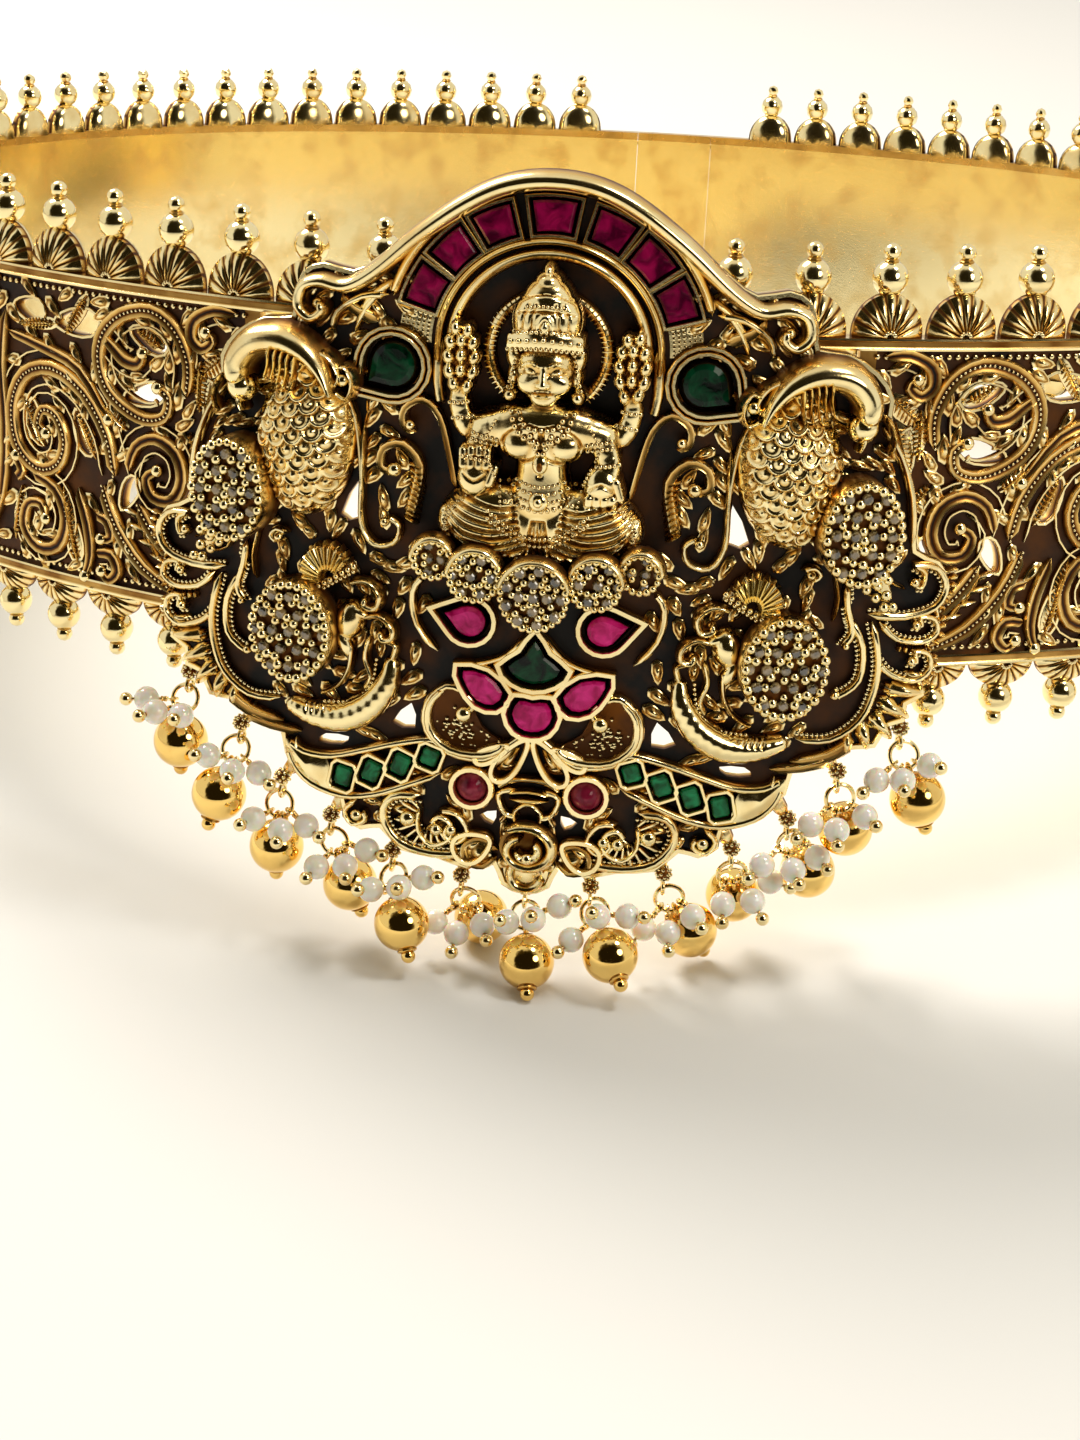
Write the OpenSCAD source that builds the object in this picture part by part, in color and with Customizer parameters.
// Waist belt in temple style: a pierced band with a row of finials above and below,
// a tall centre plaque with a seated goddess, four peacocks and set stones, and
// thirteen gold drops with pearls. It stands on its lower edge and leans back a little.

/* [Belt loop] */
// Radius of the front and back of the loop
front_radius = 140; // [130:1:150]
// Radius of the two sides of the loop
side_radius = 108; // [100:1:115]
// Lean of the whole belt from upright, where it rests on its drops and its back edge
lean_deg = 8; // [6:0.5:9]

/* [Band] */
// Height of the band from rail to rail
band_height = 40; // [38:0.5:42]
// Thickness of the band from front to back
band_depth = 3; // [2.5:0.1:3.5]
// Height of each rail
rail_height = 1.4; // [1:0.1:1.8]
// Distance from one finial to the next
finial_pitch = 9.26; // [9.1:0.02:9.4]
// Length of band that is pierced on each side, counted in finials
pierced_finials = 20; // [16:4:20]

/* [Plaque] */
// Thickness of the plaque's base plate
plate_thick = 1.5; // [1.2:0.1:2]
// Height of the rims and scrolls above the plate
rim_rise = 1.5; // [1:0.1:2]
// Radius of the arch on which the seven rubies lie
arch_radius = 15.5; // [15:0.1:16]
// Height of the arch's centre above the bottom rail
arch_centre_z = 37.4; // [37:0.1:38]

/* [Drops] */
// Radius of the gold ball of each drop
ball_radius = 3.45; // [3:0.05:3.6]
// Radius of each pearl
pearl_radius = 1.6; // [1.4:0.05:1.7]
// Radius of the jump rings to the middle of the wire
ring_radius = 1.75; // [1.6:0.05:1.9]
// Radius of the jump rings' wire
ring_wire = 0.28; // [0.22:0.02:0.3]

/* [Fits] */
// Gap between a piece and its seat
seat_gap = 0.06; // [0.05:0.01:0.1]

/* [Hidden] */
$fn = 48;

GOLD = "#c79a3c";
RUBY = "#8c0f3c";
EMERALD = "#0c5a34";
PEARL = "#f2ece0";
CLEAR = "#d9d2c0";

// The loop is four arcs that meet smoothly: front, side, back, side. A place on it
// is the distance s along the band from the middle of the front, positive to the right.
front_reach = 75.04;
front_angle = front_reach / front_radius * 180 / PI;
side_angle = 180 - 2 * front_angle;
side_reach = side_angle * PI / 180 * side_radius;
side_centre = [(front_radius - side_radius) * sin(front_angle),
    front_radius - (front_radius - side_radius) * cos(front_angle)];
loop_half = 2 * front_reach + side_reach;
loop_depth = 2 * side_centre[1];
clasp_half = 7.5;

// Heights of the layers above the band's front face, along the outward normal
plate_back = 0.25;
plate_front = plate_back + plate_thick;
rim_front = plate_front + rim_rise;
cornice_front = rim_front + 1.4;
stone_floor = plate_front + seat_gap;

// Finials: heights measured outward from the rail's edge
dome_radius = 4.3;
dome_height = 4.7;
knob_radius = 2.15;
tip_radius = 1.05;
finial_back = -4.4;
top_finial_start = 20.7;
low_finial_start = 40.0;
top_reach = [4.8, 6.7, 9.7];
low_reach = [3.1, 5.0, 7.7];

// The belt's own frame stands on the floor: the lean, then the lift and the shift
lift = 39.84;
shift_y = -106.49;

module stand() {
    translate([0, shift_y, lift]) rotate([-lean_deg, 0, 0]) children();
}

// Put children, drawn in X and Y with Z outward, at s and z on the front arc
module at(s, z, h = 0) {
    translate([0, front_radius, 0]) rotate([0, 0, s / front_radius * 180 / PI])
        translate([0, -front_radius - h, z]) rotate([90, 0, 0]) children();
}

// The same for any place on the loop
module on_loop(s, z, h = 0) {
    a = abs(s);
    m = s < 0 ? 1 : 0;
    mirror([m, 0, 0]) {
        if (a <= front_reach + 0.001) at(a, z, h) children();
        else if (a <= front_reach + side_reach + 0.001)
            translate([side_centre[0], side_centre[1], 0])
                rotate([0, 0, front_angle + (a - front_reach) / side_radius * 180 / PI])
                    translate([0, -side_radius - h, z]) rotate([90, 0, 0]) children();
        else translate([0, loop_depth - front_radius, 0])
                rotate([0, 0, 180 - (loop_half - a) / front_radius * 180 / PI])
                    translate([0, -front_radius - h, z]) rotate([90, 0, 0]) children();
    }
}

// Part of a ring wall about a centre: from the angle a0 to a1, both from the front
module wall(centre, radius, a0, a1, z0, z1, h0, h1) {
    translate([centre[0], centre[1], z0]) rotate([0, 0, -90 + a0])
        rotate_extrude(angle = a1 - a0, $fn = 180)
            translate([radius + h0, 0]) square([h1 - h0, z1 - z0]);
}

// A wall all along one side of the loop, from s0 on the front to s1
module loop_wall(s0, s1, z0, z1, h0, h1) {
    side_end = front_reach + side_reach;
    if (s0 < front_reach)
        wall([0, front_radius], front_radius, s0 / front_radius * 180 / PI, front_angle, z0, z1, h0, h1);
    if (s1 > front_reach)
        wall(side_centre, side_radius,
            front_angle + max(0, s0 - front_reach) / side_radius * 180 / PI,
            front_angle + (min(s1, side_end) - front_reach) / side_radius * 180 / PI, z0, z1, h0, h1);
    if (s1 > side_end)
        wall([0, loop_depth - front_radius], front_radius, 180 - front_angle,
            180 - (loop_half - s1) / front_radius * 180 / PI, z0, z1, h0, h1);
}

// Bend a flat pattern of the plaque into a layer from h0 to h1 on the front arc
module layer(h0, h1) {
    intersection() {
        translate([0, 30, 0]) rotate([90, 0, 0]) linear_extrude(height = 40) children();
        wall([0, front_radius], front_radius, -24, 24, -60, 80, h0, h1);
    }
}

// Where a point of the curved plaque stands when seen from straight ahead
function flat(p) = [front_radius * sin(p[0] / front_radius * 180 / PI), p[1]];

// A smooth line through a few points, k steps between each pair
function bend_at(p0, p1, p2, p3, t) = 0.5 * ((2 * p1) + (p2 - p0) * t
    + (2 * p0 - 5 * p1 + 4 * p2 - p3) * t * t + (3 * p1 - p0 - 3 * p2 + p3) * t * t * t);
function smooth(p, k = 4) = let (n = len(p))
    [for (i = [0:n - 2]) for (j = [0:k - 1])
        bend_at(p[max(i - 1, 0)], p[i], p[i + 1], p[min(i + 2, n - 1)], j / k), p[n - 1]];
function unit_of(v) = v / max(norm(v), 0.0001);
function side_at(p, i) = let (n = len(p), d = unit_of(p[min(i + 1, n - 1)] - p[max(i - 1, 0)]))
    [-d[1], d[0]];
// Outline of a ribbon along a line, w0 wide at its start and w1 at its end
function ribbon(p, w0, w1) = let (n = len(p))
    concat([for (i = [0:n - 1]) p[i] + side_at(p, i) * (w0 + (w1 - w0) * i / (n - 1)) / 2],
        [for (i = [n - 1:-1:0]) p[i] - side_at(p, i) * (w0 + (w1 - w0) * i / (n - 1)) / 2]);

module shape(p) {
    polygon([for (q = p) flat(q)]);
}
// Both halves of a pattern that is drawn on the right
module both() {
    children();
    mirror([1, 0]) children();
}
// One clean outline out of many overlapping shapes
module merged() {
    offset(delta = 0.01) children();
}
function leaf(c, length, width, angle, k = 5) = let (n = 2 * k)
    [for (i = [0:n - 1]) let (t = i / n * 360,
        x = length / 2 * cos(t), y = width / 2 * sin(t) * (1 - 0.35 * cos(t)))
        c + [x * cos(angle) - y * sin(angle), x * sin(angle) + y * cos(angle)]];

// Right half of the plaque's outline, from the top of the arch down to the rose
OUTLINE = [[0, 57.6], [5, 57.0], [10, 54.6], [15, 51.0], [20, 46.9], [23, 45.0], [26.6, 45.6],
    [29.2, 44.4], [30.3, 41.4], [30.6, 39.0], [34, 38.6], [37.6, 36.6], [39.8, 33.4], [39.6, 29.4],
    [42, 25.2], [43.6, 20.6], [44.2, 15.4], [47.2, 14.0], [48.6, 11.2], [47.6, 8.2], [48.2, 5.8],
    [47, 3.6], [47.6, 1.2], [46.4, -1], [47, -3], [44.9, -4.2], [44.8, -6.4], [42.6, -7.0],
    [41.4, -9.6], [38.2, -9.8], [35, -11.6], [31.6, -12.4], [30.9, -15.6], [27.6, -19.0],
    [23.6, -20.3], [23.2, -22.8], [20.8, -24.2], [18.4, -23.6], [15.6, -26.2], [11, -26.7],
    [7.4, -27.6], [4.0, -26.8], [3.0, -29.2], [0, -30.4]];

// See-through places in the right half of the plate
GAPS = [[[21.9, 20.4], [24.2, 15.8], [21.8, 15.6]],
    [[14.8, -6.8], [17.2, -9.6], [14.3, -10.0]],
    [[22.6, -12.2], [25.6, -12.2], [26.6, -13.4], [23.6, -13.4]],
    [[3.9, -19.6], [6.0, -20.4], [4.4, -21.6]]];

// Raised rims on the right half: smooth lines with a width at the start and the end
RIMS = [
    // lines, start width, end width
    [[[12.4, 38], [12.5, 33], [12.0, 30.4]], 1.3, 0.9],
    [[[10.0, 20.4], [11.0, 25], [12.2, 29], [14.2, 30.8], [16.3, 29.6], [16.4, 27.6], [15, 26.9]], 0.7, 0.8],
    [[[17.4, 21.8], [19.0, 22.4], [18.7, 24.6], [16.4, 25.3], [14.4, 23], [14.9, 19], [15.6, 16.4]], 0.9, 1.2],
    [[[21.2, 27.4], [21.3, 20], [21.2, 15.4], [19.6, 12.9], [17.2, 13.4], [16.6, 15.4], [18.1, 16.5]], 0.6, 0.6],
    [[[24, 31.6], [22.2, 28], [21.4, 22.6], [21.3, 18]], 0.5, 0.5],
    [[[40.4, 27.2], [42.6, 22], [43.4, 16]], 0.7, 0.7],
    [[[43.6, 11.4], [44.9, 10.9], [45.2, 12.7], [43.9, 13.6], [46.6, 13.2], [48.0, 11], [46.8, 8.4],
        [43, 7.3], [38.8, 7.6]], 0.6, 1.0],
    [[[44.4, 6.2], [45.4, 6.2], [45.2, 7.2], [46.9, 6.9], [47.4, 5.3], [45.6, 4.1], [42.4, 4.6], [40.3, 6.6]],
        0.6, 0.8],
    [[[44.2, 1.6], [45.2, 1.6], [45, 2.9], [46.7, 2.4], [46.9, 0.5], [45, -0.8], [42, 0.2], [40.6, 1.6]],
        0.6, 0.8],
    [[[39.4, 6.6], [40.5, 2], [40.3, -2], [38.8, -5.8], [35.4, -8.2], [31.4, -8.2]], 0.8, 0.8],
    [[[36.6, 7.2], [38.4, 3.6], [38.3, -0.6], [36, -2.6], [35.2, -2.2]], 0.8, 0.8],
    [[[35.9, 11.3], [36.2, 8.4], [37, 5.4], [35.9, 3.6]], 0.7, 0.9],
    [[[30.4, 12.9], [31.8, 13.3], [32.6, 12.4], [31.7, 11.6]], 0.6, 0.7],
    [[[9.6, -4.2], [12.6, -4.6], [13.9, -8], [12.0, -11.6], [8, -12.8], [4.6, -11.8], [2.2, -9.6]], 0.8, 0.8],
    [[[10.4, -5.6], [10.3, -7.4], [9.0, -7.6]], 0.9, 1.2],
    [[[13.4, 9.8], [14.8, 7.6], [14.2, 3.6], [11.6, 0.4]], 0.8, 0.7],
    [[[30.2, -13.4], [28, -14.6], [24.4, -14.6], [20.4, -13.3], [16, -11.8], [12, -10.9], [9.6, -11.6]], 0.6, 0.6],
    [[[30.2, -14.4], [29.2, -16.6], [27, -18.6], [23, -19.6], [19, -18.9], [15, -17.2], [10.8, -15.2]], 0.7, 0.6],
    [[[29.2, -13], [28.2, -16], [25.8, -17.2]], 0.6, 0.5],
    [[[38.4, -8.6], [35.4, -10.4], [31, -11.2]], 1.6, 1.0],
    [[[35.8, -11.0], [32.4, -11.9], [28.6, -12.2]], 1.2, 0.8],
    [[[20.4, -21.2], [20.0, -22.4], [21.6, -23.2], [22.6, -21.6], [21.2, -20]], 0.6, 0.7],
    [[[13.2, -18.4], [16.6, -18.9], [17.8, -21.6], [15.6, -24.8], [11.6, -25.8], [7.6, -25.4]], 0.9, 1.0],
    [[[9.4, -21.6], [10.0, -22.9], [8.6, -24.0], [7.2, -22.4], [8.6, -20.2], [10.9, -20.0]], 0.6, 0.7],
    [[[3.4, -24.6], [5.6, -23.2], [7.6, -24.4], [7.2, -26.4], [5.2, -26.8], [3.6, -25.4]], 0.7, 0.7],
    [[[1.6, -16.2], [3.6, -17], [2.8, -19.4], [1.0, -19.8]], 0.7, 0.7],
    [[[19.8, 39.4], [22.6, 40.6], [24.2, 42.2]], 1.6, 0.8]];

// Rounded petals round the lower edge: centre s, centre z, length, width, angle
PETALS = [[44.4, -2.2, 5.2, 2.1, -8], [43.2, -4.6, 4.8, 2.0, -30], [41.9, -6.8, 4.4, 1.9, -50],
    [39.8, -8.0, 3.8, 1.8, -72], [3.6, -12.4, 5.4, 2.2, -52]];

// Emeralds of the right crescent leaf: centre s, centre z, width, height, angle
LEAF_STONES = [[22.9, -17.0, 2.6, 3.3, 12], [19.3, -15.9, 2.6, 3.4, 20],
    [15.7, -14.5, 2.6, 3.4, 22], [12.1, -13.1, 2.6, 2.8, 18]];

// Stones of the arch: angle from the top and half width, both in degrees
ARCH_STONES = [[-65.4, 8.9], [-45, 8.8], [-24.4, 8.6], [0, 9.8], [24.4, 8.6], [45, 8.8], [65.4, 8.9]];
arch_stone_in = arch_radius - 2.1;
arch_stone_out = arch_radius + 2.1;
tear_centre = [17.8, 34.6];
tear_angle = -36;
petal_ruby_centre = [7.9, 4.7];
cabochon_centre = [6.9, -16.5];

// Cells of the fan below the goddess, each round its own centre
FAN_TOP = [[0, 0.3], [[0, 3.2], [1.5, 1.2], [3.7, -1.0], [2.4, -2.6], [0, -3.3], [-2.4, -2.6], [-3.7, -1.0],
    [-1.5, 1.2]]];
FAN_MIDDLE = [[0, -6.6], [[-1.9, 2.3], [1.9, 2.3], [2.9, 0.1], [1.9, -1.9], [0, -2.5], [-1.9, -1.9], [-2.9, 0.1]]];
FAN_SIDE = [[6.2, -3.6], [[-3.2, -0.4], [-0.7, 2.2], [2.7, 2.4], [2.2, 0.2], [0.5, -2.0], [-1.9, -2.4]]];

function mirrored(p) = concat(p, [for (i = [len(p) - 1:-1:0]) if (p[i][0] > 0.001) [-p[i][0], p[i][1]]]);
function moved(c, p) = [for (q = p) c + q];
function turned(p, a) = [for (q = p) [q[0] * cos(a) - q[1] * sin(a), q[0] * sin(a) + q[1] * cos(a)]];
function box_cell(w, h) = [[-w / 2, -h * 0.3], [-w * 0.3, -h / 2], [w * 0.3, -h / 2], [w / 2, -h * 0.3],
    [w / 2, h * 0.3], [w * 0.3, h / 2], [-w * 0.3, h / 2], [-w / 2, h * 0.3]];
// Teardrop round its centre, with its tip out along an angle
function tear(r, tip, a, n = 10) = concat([for (i = [0:n]) let (t = a + 48 + (264) * i / n)
    r * [cos(t), sin(t)]], [tip * [cos(a), sin(a)]]);
// Stone of the arch round its own centre, and that centre
function arch_at(a, r) = [r * sin(a), arch_centre_z + r * cos(a)];
function arch_cell(row) = let (a = row[0], w = row[1], c = arch_at(a, arch_radius))
    [for (q = [[-w, arch_stone_in], [0, arch_stone_in], [w, arch_stone_in], [w, arch_radius],
        [w, arch_stone_out], [0, arch_stone_out + 0.1], [-w, arch_stone_out], [-w, arch_radius]])
        arch_at(a + q[0], q[1]) - c];
function sector(r0, r1, a0, a1, n = 24) = concat([for (i = [0:n]) arch_at(a0 + (a1 - a0) * i / n, r0)],
    [for (i = [n:-1:0]) arch_at(a0 + (a1 - a0) * i / n, r1)]);

// Bails along the plaque's lower edge: place s, height z of the granulated bead
BAILS = [[0, -29.6], [8.0, -28.8], [16.8, -26.6], [24.9, -23.0], [31.5, -19.0], [37.2, -12.8], [44.6, -7.3]];
bail_drop = 1.85;
bail_h = 1.3;

module granule_bead(r) {
    sphere(r, $fn = 24);
}

module bail(s, z) {
    // a short tongue of the plate carries the bead
    if (s != 0) at(s, z, plate_back + 0.1) linear_extrude(height = plate_thick - 0.2)
        polygon(ribbon([[0, 0], [-0.08 * s, 3.4]], 1.6, 2.6));
    at(s, z, bail_h) granule_bead(1.15);
    at(s, z - bail_drop, bail_h) rotate([0, 90, 0])
        rotate_extrude($fn = 24) translate([0.8, 0]) circle(0.25, $fn = 16);
}

bezel_wall = 0.6;
sink = 1.0;
// Raised wall round a stone's pocket, drawn round the stone's own centre
module bezel(cell) {
    difference() {
        linear_extrude(height = sink + rim_rise) offset(delta = bezel_wall) polygon(cell);
        translate([0, 0, sink]) linear_extrude(height = 3) polygon(cell);
    }
}
module bezel_at(c, cell, m = 1) {
    at(m * c[0], c[1], plate_front - sink) mirror([m < 0 ? 1 : 0, 0, 0]) bezel(cell);
}
// A raised line soldered on the plate, standing square to it at its middle
module rim(line, w0, w1, rise, m = 1) {
    c = line[floor(len(line) / 2)];
    at(m * c[0], c[1], plate_front - sink) mirror([m < 0 ? 1 : 0, 0, 0])
        linear_extrude(height = sink + rise) offset(delta = 0.01)
            polygon(ribbon(moved(-c, smooth(line, 2)), w0, w1));
}
CORNICE_WING = [[9.6, 53.8], [15, 49.6], [20, 45.2], [23.6, 43.2], [26.4, 43.8], [28.6, 43.0], [29.0, 40.6],
    [27.4, 39.2], [26.0, 40.4]];
cornice_rise = rim_rise + 1.4;

module centre_plaque() {
    color(GOLD) {
        layer(plate_back, plate_front) difference() {
            merged() {
                shape(mirrored(OUTLINE));
                both() for (p = PETALS) shape(leaf([p[0], p[1]], p[2], p[3], p[4], 4));
            }
            both() for (g = GAPS) shape(g);
        }
        for (row = ARCH_STONES) bezel_at(arch_at(row[0], arch_radius), arch_cell(row));
        bezel_at(FAN_TOP[0], FAN_TOP[1]);
        bezel_at(FAN_MIDDLE[0], FAN_MIDDLE[1]);
        for (m = [-1, 1]) {
            bezel_at(FAN_SIDE[0], FAN_SIDE[1], m);
            bezel_at(tear_centre, tear(3.3, 4.7, tear_angle), m);
            bezel_at(petal_ruby_centre, tear(2.4, 3.9, 14, 8), m);
            for (c = LEAF_STONES) bezel_at([c[0], c[1]], turned(box_cell(c[2], c[3]), c[4]), m);
            at(m * cabochon_centre[0], cabochon_centre[1], plate_front - sink) difference() {
                cylinder(r = 2.9, h = sink + rim_rise);
                translate([0, 0, sink]) cylinder(r = 2.0, h = 3);
            }
            for (r = RIMS) rim(r[0], r[1], r[2], rim_rise, m);
            rim(CORNICE_WING, 2.6, 1.2, cornice_rise, m);
            rim([for (a = [-1:10:29]) arch_at(a, 18.9)], 2.4, 2.4, cornice_rise, m);
        }
        at(0, arch_centre_z, plate_front - sink) linear_extrude(height = sink + rim_rise + 0.5)
            polygon(moved([0, -arch_centre_z], sector(10.2, 11.7, -62, 62, 16)));
        at(0, arch_centre_z, plate_front - sink) linear_extrude(height = sink + rim_rise - 0.1)
            polygon(moved([0, -arch_centre_z], sector(5.9, 6.9, -140, 140, 20)));
        at(0, -23.6, plate_front - 0.3) {
            cylinder(r = 3.5, h = 2.2);
            translate([0, 0, 2.2]) rotate_extrude() translate([2.5, 0]) circle(0.75, $fn = 20);
            translate([0.5, -0.4, 2.4]) sphere(1.35);
        }
        at(0, -27.4, plate_front - 0.6) rotate_extrude() translate([1.8, 0]) circle(0.55, $fn = 20);
        for (b = BAILS) {
            bail(b[0], b[1]);
            if (b[0] > 0) bail(-b[0], b[1]);
        }
    }
}

// A cut stone in a cell: its sides slope in from the girdle to a flat table
stone_share = 0.94;
module cut_stone(cell, rise = 1.4, table = 0.7) {
    linear_extrude(height = rise, scale = table) polygon(cell * stone_share);
}

module arch_ruby(i) {
    row = ARCH_STONES[i - 1];
    c = arch_at(row[0], arch_radius);
    color(RUBY) at(c[0], c[1], stone_floor) cut_stone(arch_cell(row));
}
module side_emerald(m) {
    color(EMERALD) at(m * tear_centre[0], tear_centre[1], stone_floor) mirror([m < 0 ? 1 : 0, 0, 0])
        cut_stone(tear(3.3, 4.7, tear_angle), 1.6, 0.62);
}
module petal_ruby(m) {
    color(RUBY) at(m * petal_ruby_centre[0], petal_ruby_centre[1], stone_floor) mirror([m < 0 ? 1 : 0, 0, 0])
        cut_stone(tear(2.4, 3.9, 14, 8), 1.6, 0.62);
}
module fan_stone(cell, m, tone) {
    color(tone) at(m * cell[0][0], cell[0][1], stone_floor) mirror([m < 0 ? 1 : 0, 0, 0]) cut_stone(cell[1]);
}
module leaf_emerald(i) {
    m = i > 4 ? -1 : 1;
    c = LEAF_STONES[(i - 1) % 4];
    color(EMERALD) at(m * c[0], c[1], stone_floor) mirror([m < 0 ? 1 : 0, 0, 0])
        cut_stone(turned(box_cell(c[2], c[3]), c[4]), 1.3);
}
module pink_cabochon(m) {
    color(RUBY) at(m * cabochon_centre[0], cabochon_centre[1], stone_floor) {
        cylinder(r = 1.9, h = 0.6);
        translate([0, 0, 0.6]) difference() {
            translate([0, 0, -0.55]) sphere(1.98);
            translate([0, 0, -5]) cube(10, center = true);
        }
    }
}

// A smooth limb or feather: balls [s, z, height, radius], each joined to the next
module limb(balls, sides = 10) {
    for (i = [0:len(balls) - 2]) hull() {
        translate([balls[i][0], balls[i][1], balls[i][2]]) sphere(balls[i][3], $fn = sides);
        translate([balls[i + 1][0], balls[i + 1][1], balls[i + 1][2]]) sphere(balls[i + 1][3], $fn = sides);
    }
}
// Keep only what stands above the seat
module seated() {
    intersection() {
        union() children();
        translate([-60, -60, 0]) cube([120, 120, 30]);
    }
}
module oval(c, rx, rz, h) {
    translate([c[0], c[1], 0]) scale([rx, rz, 1]) cylinder(r = 1, h = h, $fn = 20);
}

upper_bird = [31, 24];
upper_wing = [36.2, 18.6];
upper_wing_size = [4.8, 6.2];
lower_bird = [25, 0];
lower_wing = [28.9, 1.7];
lower_wing_size = [5.2, 6.3];
upper_wing_rise = 5.8;
lower_wing_rise = 4.0;

module upper_peacock(m) {
    c = upper_bird;
    color(GOLD) at(m * c[0], c[1], stone_floor) mirror([m < 0 ? 1 : 0, 0, 0]) seated() translate(-c) {
        limb([[28.4, 32.4, 0.6, 3.0], [29.2, 28.6, 0.6, 4.9], [29.0, 23.6, 0.6, 5.6], [28.1, 18.9, 0.4, 4.4],
            [27.6, 16.6, 0.2, 2.5]], 16);
        limb([[37.6, 31.4, 1.2, 2.2], [36.2, 33.6, 1.6, 2.6], [33.0, 34.4, 1.2, 2.6], [30.0, 32.8, 0.8, 2.6]], 14);
        limb([[39.0, 32.6, 1.0, 1.2], [37.8, 35.4, 2.6, 1.4], [34.4, 37.0, 2.8, 1.5], [30.6, 36.8, 2.6, 1.4],
            [27.6, 35.2, 2.2, 1.2], [25.4, 33.4, 1.6, 1.0], [23.4, 33.6, 1.2, 0.8], [23.2, 35.2, 1.2, 0.7]]);
        oval(upper_wing, upper_wing_size[0], upper_wing_size[1], upper_wing_rise);
        limb([[37.6, 14.4, 1.4, 2.4], [40.8, 10.6, 1.0, 0.7]]);
        linear_extrude(height = 0.8) polygon([[26, 34], [38, 34], [40.2, 26], [41.2, 18], [36, 16], [27.6, 18]]);
    }
}
module lower_peacock(m) {
    c = lower_bird;
    color(GOLD) at(m * c[0], c[1], stone_floor) mirror([m < 0 ? 1 : 0, 0, 0]) seated() translate(-c) {
        oval(lower_wing, lower_wing_size[0], lower_wing_size[1], lower_wing_rise);
        limb([[29.6, -8.6, 1.0, 1.2], [26.6, -9.4, 1.0, 1.7], [22.6, -9.3, 1.0, 2.0], [19.2, -7.2, 1.0, 1.9],
            [17.0, -4.0, 1.0, 1.6], [16.9, -1.4, 1.0, 1.2]], 12);
        limb([[22.8, 4.8, 1.0, 2.2], [21.2, 1.6, 1.0, 1.8], [20.2, -1.4, 1.0, 1.1], [20.2, -4.2, 0.8, 0.9]]);
        limb([[21.6, 6.4, 0.8, 1.0], [19.2, 6.4, 0.8, 1.1], [18.8, 4.4, 0.8, 0.8], [17.4, 2.8, 0.8, 1.2]]);
        for (a = [20:22:152]) limb([[25.0, 9.4, 0.6, 0.8],
            [25.0 + 3.6 * cos(a + 14), 9.4 + 3.6 * sin(a + 14), 1.0, 0.9]], 8);
        linear_extrude(height = 0.8) polygon([[17.6, 4], [24, 11], [29, 9], [33, 2], [30, -8], [22, -9.6],
            [18, -5]]);
    }
}

// Small cut stones laid in rows inside an oval, each loose by a hair
stone_across = 1.5;
stone_pitch = 2.19;
module stone_field(c, size, h) {
    rows = floor(size[1] / stone_pitch);
    for (j = [-rows:rows]) let (z = j * stone_pitch, reach = size[0] * sqrt(max(0, 1 - pow(z / size[1], 2))) - 0.8,
        n = floor(2 * reach / stone_pitch))
        for (i = [0:n]) if (reach > 0)
            translate([c[0] + (i - n / 2) * stone_pitch, c[1] + z, h]) rotate(22.5)
                cylinder(r1 = stone_across / 2, r2 = stone_across * 0.3, h = 0.7, $fn = 8);
}
module wing_stones(m, bird, c, size, rise) {
    color(CLEAR) at(m * bird[0], bird[1], stone_floor) mirror([m < 0 ? 1 : 0, 0, 0]) translate(-bird)
        stone_field(c, size, rise + 0.1);
}

// Lotus clusters under the goddess: centre s, centre z, radius, height
LOTUS = [[0, 9.6, 4.2, 5.6], [-7.1, 11.4, 3.2, 5.0], [7.1, 11.4, 3.2, 5.0], [-12.2, 12.9, 2.5, 4.2],
    [12.2, 12.9, 2.5, 4.2]];
module lotus_stones() {
    color(CLEAR) for (l = LOTUS) at(l[0], l[1], stone_floor) {
        for (k = [1:l[2] > 4 ? 2 : 1]) let (r = k * (l[2] - 0.9) / (l[2] > 4 ? 2 : 1),
            n = floor(2 * PI * r / stone_pitch))
            for (i = [0:n - 1]) rotate(i * 360 / n) translate([r, 0, l[3] + 0.1])
                cylinder(r1 = stone_across / 2, r2 = stone_across * 0.3, h = 0.7, $fn = 8);
        translate([0, 0, l[3] + 0.1]) cylinder(r1 = stone_across / 2, r2 = stone_across * 0.3, h = 0.7, $fn = 8);
    }
}

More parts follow.
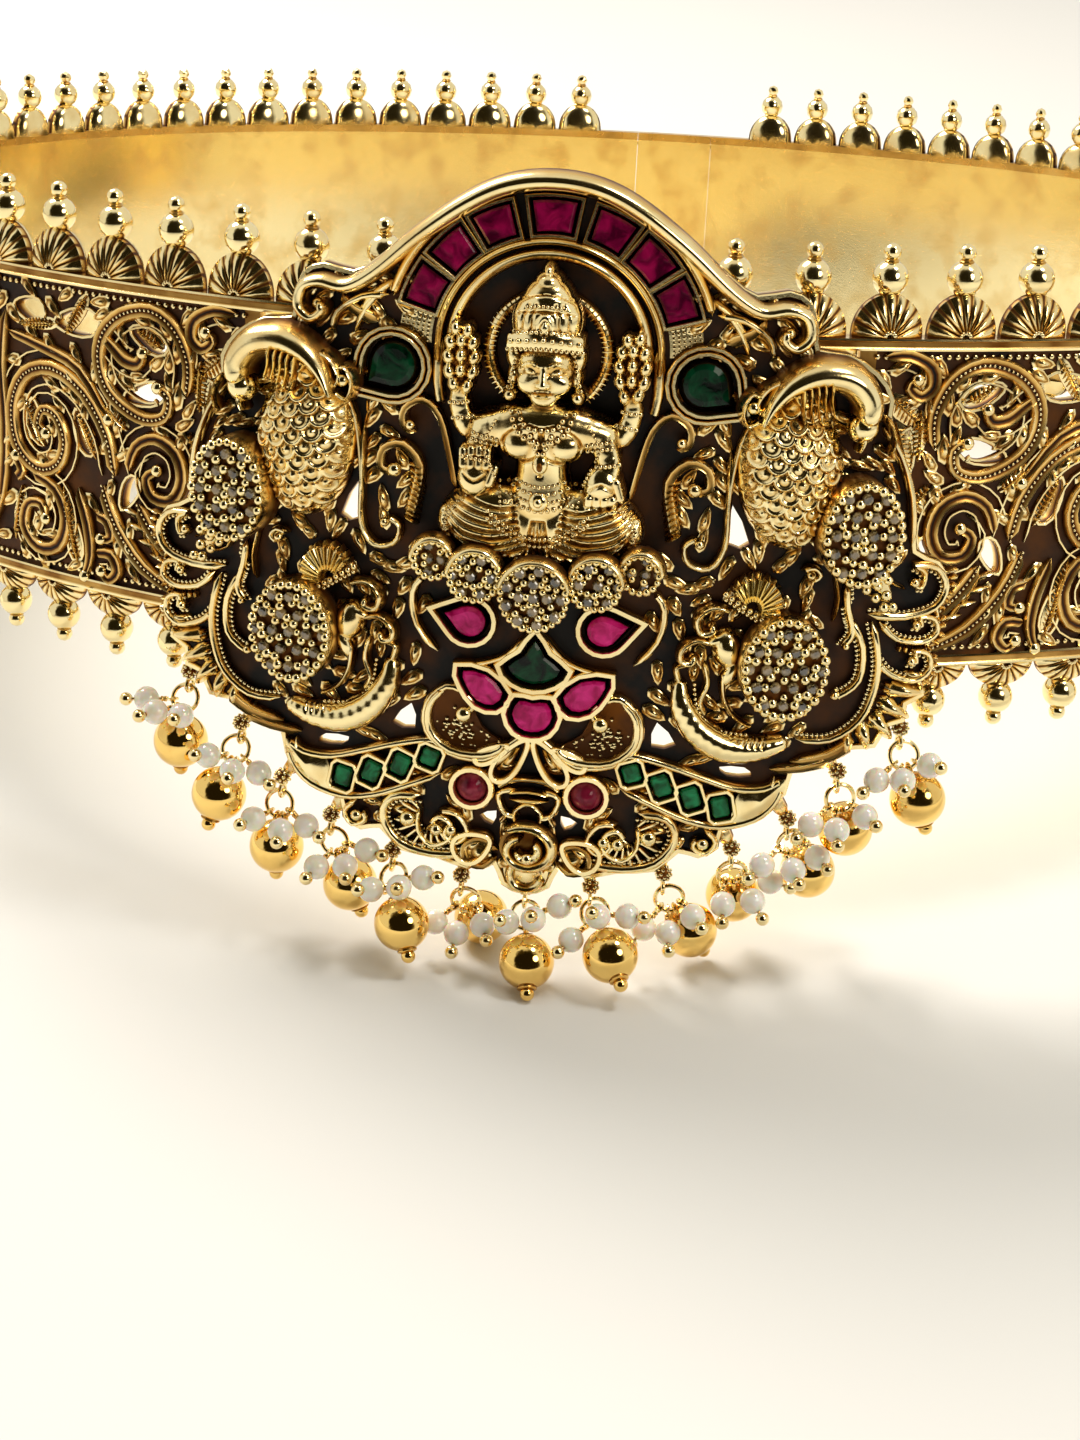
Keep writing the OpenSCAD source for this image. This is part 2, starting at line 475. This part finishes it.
module goddess_figure() {
    color(GOLD) at(0, 0, stone_floor) seated() {
        for (l = LOTUS) translate([l[0], l[1], 0]) cylinder(r = l[2], h = l[3], $fn = 16);
        limb([[0, 46.6, 3.4, 0.7], [0, 44.4, 3.6, 1.5], [0, 41.4, 3.8, 3.0], [0, 38.8, 3.8, 3.6]], 12);
        limb([[0, 37.4, 4.2, 3.0], [0, 34.6, 4.4, 2.5], [0, 31.2, 2.8, 1.5]], 12);
        limb([[-4.6, 29.2, 2.4, 1.7], [4.6, 29.2, 2.4, 1.7]]);
        limb([[0, 28.4, 2.6, 2.4], [0, 24.6, 2.4, 2.2], [0, 20.4, 2.2, 3.0]], 12);
        for (m = [-1, 1]) {
            limb([[m * 2.4, 27.6, 3.9, 2.0], [m * 1.2, 27.4, 3.3, 1.8]]);
            limb([[m * 5.4, 29.2, 1.6, 1.4], [m * 8.6, 28.2, 1.2, 1.1], [m * 9.5, 31.6, 1.2, 1.0],
                [m * 9.7, 34.4, 1.2, 1.4], [m * 9.7, 37.6, 1.2, 1.6]], 8);
            limb([[m * 5.6, 28.6, 2.8, 1.3], [m * 7.2, 25.6, 3.2, 1.2], [m * 7.2, 22.6, 4.6, 1.5],
                [m * 7.2, 20.8, 4.4, 1.1]], 8);
            limb([[m * 2.4, 19.4, 3.4, 2.2], [m * 8.6, 18.2, 3.2, 2.6], [m * 5.4, 15.6, 4.2, 1.9],
                [m * 0.8, 15.4, 4.6, 1.4]]);
        }
        linear_extrude(height = 0.8) polygon([[-10, 12], [10, 12], [9.4, 22], [4.5, 24], [5.6, 29], [3.2, 40],
            [-3.2, 40], [-5.6, 29], [-4.5, 24], [-9.4, 22]]);
    }
}

// One pierced stretch of the band, 37 mm long, round its own middle: openings and raised scrolls
UNIT_GAPS = [[-5.0, 33.4, 5.4, 2.6, 18], [-4.2, 26.4, 6.0, 2.4, -14], [-14.4, 26.0, 6.4, 2.6, 78],
    [6.4, 34.0, 7.0, 3.0, -6], [14.6, 34.6, 5.0, 2.6, 4], [5.6, 20.2, 5.6, 2.4, 66],
    [14.2, 20.6, 4.8, 2.4, 84], [-11.0, 13.6, 6.0, 2.6, 66], [-1.6, 13.6, 4.6, 2.0, -62], [7.4, 6.0, 5.2, 2.0, 84]];
// Scroll rings of one stretch: centre x, centre z, radius, width
UNIT_SCROLLS = [[-4.2, 30.0, 6.6, 1.2], [10.4, 21.2, 6.8, 1.2], [-6.2, 17.2, 3.6, 1.1], [11.8, 8.2, 4.2, 1.1],
    [-13.6, 34.2, 2.0, 0.9], [1.6, 5.4, 2.4, 0.9], [-13.6, 6.4, 3.0, 1.0]];
unit_length = 4 * finial_pitch;
pierced_start = front_reach - unit_length;
pierced_end = pierced_start + pierced_finials * finial_pitch;
post_width = 2;
wall_back = -2.2;
wall_front = -0.8;
scroll_front = 0.1;
half_gap = 0.05;

// Openings and raised scrolls of one pierced stretch, round its middle at s
module unit_gaps(s) {
    for (g = UNIT_GAPS) on_loop(s + g[0], g[1], wall_back - 1)
        linear_extrude(height = 4) polygon(leaf([0, 0], g[2], g[3], g[4], 4));
}
module unit_scrolls(s) {
    for (u = UNIT_SCROLLS) on_loop(s + u[0], u[1], wall_front - 0.4)
        linear_extrude(height = scroll_front - wall_front + 0.4) difference() {
            circle(u[2], $fn = 24);
            circle(u[2] - u[3], $fn = 24);
        }
}

module finial(reach) {
    depth = scroll_front - 0.05 - finial_back;
    intersection() {
        rotate([-90, 0, 0]) rotate_extrude($fn = 40) polygon([[0, -0.4], [dome_radius, -0.4],
            [dome_radius, 0.5], [dome_radius - 0.5, 2.0], [dome_radius - 1.6, reach[0] - 1.0],
            [dome_radius - 2.6, reach[0]], [0, reach[0]]]);
        translate([-6, -1, -depth / 2]) cube([12, 12, depth]);
    }
    translate([0, reach[1], 0]) sphere(knob_radius);
    translate([0, reach[2], 0]) sphere(tip_radius);
}

module half_band(m) {
    finial_h = (scroll_front - 0.05 + finial_back) / 2;
    last = loop_half - clasp_half - half_gap;
    color(GOLD) mirror([m < 0 ? 1 : 0, 0, 0]) {
        loop_wall(half_gap, last, 0, rail_height, -band_depth, 0);
        loop_wall(half_gap, last, band_height - rail_height, band_height, -band_depth, 0);
        loop_wall(half_gap, post_width, rail_height - 0.3, band_height - rail_height + 0.3, wall_back, wall_front);
        difference() {
            loop_wall(pierced_start - post_width, last, rail_height - 0.3,
                band_height - rail_height + 0.3, wall_back, wall_front);
            for (i = [0:pierced_finials / 4 - 1]) unit_gaps(pierced_start + (i + 0.5) * unit_length);
        }
        for (i = [0:pierced_finials / 4 - 1]) unit_scrolls(pierced_start + (i + 0.5) * unit_length);
        for (s = [top_finial_start:finial_pitch:last - dome_radius])
            on_loop(s, band_height, finial_h) finial(top_reach);
        for (s = [low_finial_start:finial_pitch:last - dome_radius])
            on_loop(s, 0, finial_h) mirror([0, 1, 0]) finial(low_reach);
    }
}

module back_clasp() {
    turn = (clasp_half - half_gap) / front_radius * 180 / PI;
    centre = [0, loop_depth - front_radius];
    color(GOLD) {
        wall(centre, front_radius, 180 - turn, 180 + turn, rail_height - 0.3,
            band_height - rail_height + 0.3, wall_back, wall_front);
        wall(centre, front_radius, 180 - turn, 180 + turn, 0, rail_height, -band_depth, 0);
        wall(centre, front_radius, 180 - turn, 180 + turn, band_height - rail_height, band_height,
            -band_depth, 0);
        for (z = [band_height * 0.3, band_height * 0.7]) on_loop(loop_half, z, wall_front - 0.2) {
            cylinder(r = 3.4, h = 0.9);
            cylinder(r = 2.2, h = 1.7);
        }
    }
}

// How each drop hangs, from the far left to the far right: bail, lean to the right,
// ring and ball swung to the front, all in degrees, and which way its pearls spread
DROPS = [[-6, -7, 25, -35, 2], [-5, -13, 30, -15, 1], [-4, -5, 15, -25, 1], [-3, 19, 5, -15, 1],
    [-2, 23, 40, -15, 1], [-1, 19, -15, -40, 2], [0, 10, 35, 7, 3], [1, 31, 40, 5, 0],
    [2, 31, -5, -15, 2], [3, 12, -20, -25, 1], [4, 31, -15, -10, 4], [5, 19, 5, -40, 2], [6, 20, 25, -25, 2]];
// Ways three pearls spread round a jump ring: turn from its lowest point, swing to the front
SPREADS = [[[28, 85], [56, 20], [-54, 35]],
    [[34, 60], [70, 20], [-40, 70]],
    [[-34, 60], [-70, 20], [40, 70]],
    [[48, 85], [-52, 80], [95, 30]],
    [[-48, 85], [52, 80], [-95, 30]]];
loop_radius = 0.75;
loop_wire = 0.25;
pin_loop = 0.65;
pin_wire = 0.2;
loop_slack = 0.1;
ball_reach = 4.3;
pearl_reach = 3.25;
end_reach = 5.85;
bore_radius = 0.3;

module hang(d) {
    b = BAILS[abs(d[0])];
    stand() at(d[0] < 0 ? -b[0] : b[0], b[1] - bail_drop, bail_h)
        rotate([0, 0, d[1]]) rotate([-d[2], 0, 0]) children();
}
module hoop(radius, wire) {
    rotate_extrude($fn = 32) translate([radius, 0]) circle(wire, $fn = 16);
}
module gold_drop(i) {
    d = DROPS[i - 1];
    color(GOLD) hang(d) translate([0, -2 * ring_radius, 0]) rotate([-d[3], 0, 0]) {
        translate([0, -loop_slack, 0]) rotate([0, 90, 0]) hoop(loop_radius, loop_wire);
        translate([0, -ball_reach, 0]) {
            sphere(ball_radius);
            rotate([90, 0, 0]) {
                cylinder(r = 0.7, h = ball_radius + 0.5);
                translate([0, 0, ball_radius + 0.65]) sphere(0.9, $fn = 24);
                translate([0, 0, ball_radius - 0.2]) cylinder(r = 1.2, h = 0.4);
            }
            rotate([-90, 0, 0]) translate([0, 0, ball_radius - 0.2]) cylinder(r = 1.0, h = 0.4);
        }
    }
}
module jump_rings() {
    color(GOLD) for (d = DROPS) hang(d) translate([0, -ring_radius, 0]) hoop(ring_radius, ring_wire);
}
// Put children, with the pin running down from its loop, at pearl p of drop d
module on_pin(d, p) {
    hang(d) translate([0, -ring_radius, 0]) rotate([0, 0, p[0]])
        translate([0, -ring_radius, 0]) rotate([-p[1], 0, 0]) children();
}
module pearls() {
    color(PEARL) for (d = DROPS) for (p = SPREADS[d[4]]) on_pin(d, p)
        translate([0, -pearl_reach, 0]) rotate([90, 0, 0]) difference() {
            sphere(pearl_radius, $fn = 32);
            cylinder(r = bore_radius, h = 4 * pearl_radius, center = true, $fn = 16);
        }
}
module pearl_pins() {
    color(GOLD) for (d = DROPS) for (p = SPREADS[d[4]]) on_pin(d, p) {
        translate([0, -0.05, 0]) rotate([0, 90, 0]) hoop(pin_loop, pin_wire);
        rotate([90, 0, 0]) {
            translate([0, 0, 0.6]) cylinder(r = pin_wire, h = end_reach - 0.6, $fn = 16);
            translate([0, 0, 0.72]) cylinder(r = 0.36, h = 0.8, $fn = 16);
            translate([0, 0, end_reach]) sphere(0.85, $fn = 24);
        }
    }
}

stand() centre_plaque();
stand() goddess_figure();
stand() upper_peacock(-1);  // upper_peacock_left
stand() upper_peacock(1);  // upper_peacock_right
stand() lower_peacock(-1);  // lower_peacock_left
stand() lower_peacock(1);  // lower_peacock_right
stand() half_band(-1);  // band_left
stand() half_band(1);  // band_right
stand() back_clasp();
stand() arch_ruby(1);  // arch_ruby_1
stand() arch_ruby(2);  // arch_ruby_2
stand() arch_ruby(3);  // arch_ruby_3
stand() arch_ruby(4);  // arch_ruby_4
stand() arch_ruby(5);  // arch_ruby_5
stand() arch_ruby(6);  // arch_ruby_6
stand() arch_ruby(7);  // arch_ruby_7
stand() side_emerald(-1);  // side_emerald_left
stand() side_emerald(1);  // side_emerald_right
stand() petal_ruby(-1);  // petal_ruby_left
stand() petal_ruby(1);  // petal_ruby_right
stand() fan_stone(FAN_TOP, 1, EMERALD);  // centre_emerald
stand() fan_stone(FAN_SIDE, -1, RUBY);  // fan_ruby_left
stand() fan_stone(FAN_MIDDLE, 1, RUBY);  // fan_ruby_middle
stand() fan_stone(FAN_SIDE, 1, RUBY);  // fan_ruby_right
stand() leaf_emerald(1);  // leaf_emerald_1
stand() leaf_emerald(2);  // leaf_emerald_2
stand() leaf_emerald(3);  // leaf_emerald_3
stand() leaf_emerald(4);  // leaf_emerald_4
stand() leaf_emerald(5);  // leaf_emerald_5
stand() leaf_emerald(6);  // leaf_emerald_6
stand() leaf_emerald(7);  // leaf_emerald_7
stand() leaf_emerald(8);  // leaf_emerald_8
stand() pink_cabochon(-1);  // pink_cabochon_left
stand() pink_cabochon(1);  // pink_cabochon_right
stand()  // upper_wing_stones_left
    wing_stones(-1, upper_bird, upper_wing, upper_wing_size, upper_wing_rise);
stand()  // upper_wing_stones_right
    wing_stones(1, upper_bird, upper_wing, upper_wing_size, upper_wing_rise);
stand()  // lower_wing_stones_left
    wing_stones(-1, lower_bird, lower_wing, lower_wing_size, lower_wing_rise);
stand()  // lower_wing_stones_right
    wing_stones(1, lower_bird, lower_wing, lower_wing_size, lower_wing_rise);
stand() lotus_stones();
gold_drop(1);  // gold_drop_1
gold_drop(2);  // gold_drop_2
gold_drop(3);  // gold_drop_3
gold_drop(4);  // gold_drop_4
gold_drop(5);  // gold_drop_5
gold_drop(6);  // gold_drop_6
gold_drop(7);  // gold_drop_7
gold_drop(8);  // gold_drop_8
gold_drop(9);  // gold_drop_9
gold_drop(10);  // gold_drop_10
gold_drop(11);  // gold_drop_11
gold_drop(12);  // gold_drop_12
gold_drop(13);  // gold_drop_13
jump_rings();
pearls();
pearl_pins();
